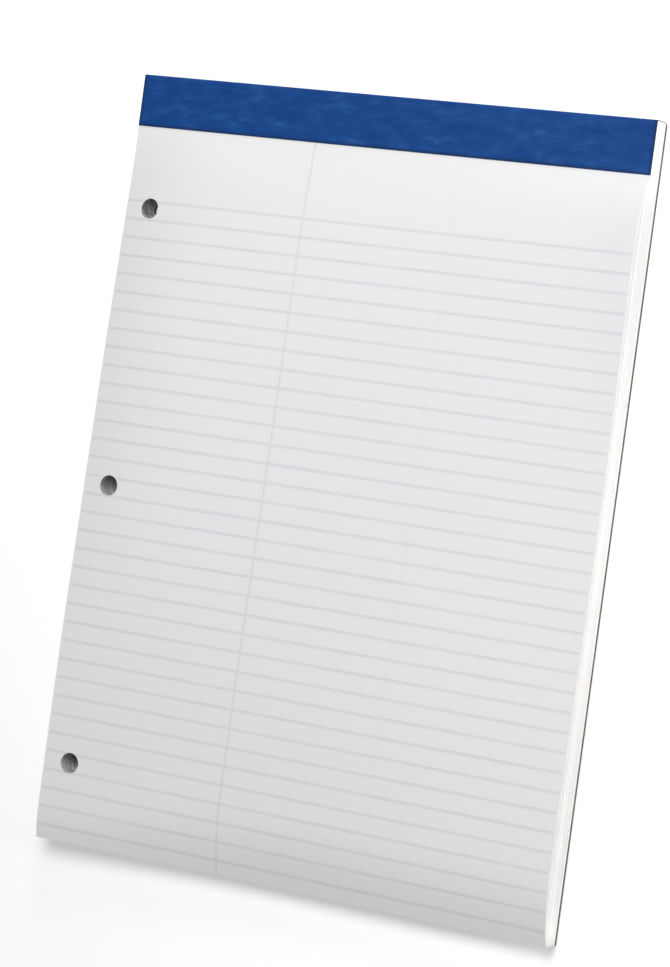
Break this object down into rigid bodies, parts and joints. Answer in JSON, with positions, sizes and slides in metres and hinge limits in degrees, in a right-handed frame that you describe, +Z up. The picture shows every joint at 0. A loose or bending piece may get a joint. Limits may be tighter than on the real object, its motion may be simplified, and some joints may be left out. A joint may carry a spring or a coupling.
{
  "type": "legal pad",
  "caption": "Letter-size ruled writing pad: a block of loose sheets on a chipboard back, bound by a folded strip at the head and punched for a ring binder down its left edge.",
  "frame": {"origin": "on the surface the pad lies on, under the middle of the pad", "axes": "+X the pad's right, +Y its bound head, +Z up out of the top sheet"},
  "size_m": [0.216, 0.2984, 0.0152],
  "materials": {
    "paper": "matte",
    "chipboard": "matte",
    "strip": "satin",
    "wire": "satin"
  },
  "bodies": {
    "root": {"sheets": "paper", "back_board": "chipboard", "binding_strip": "strip", "staples": "wire"}
  },
  "joints": []
}
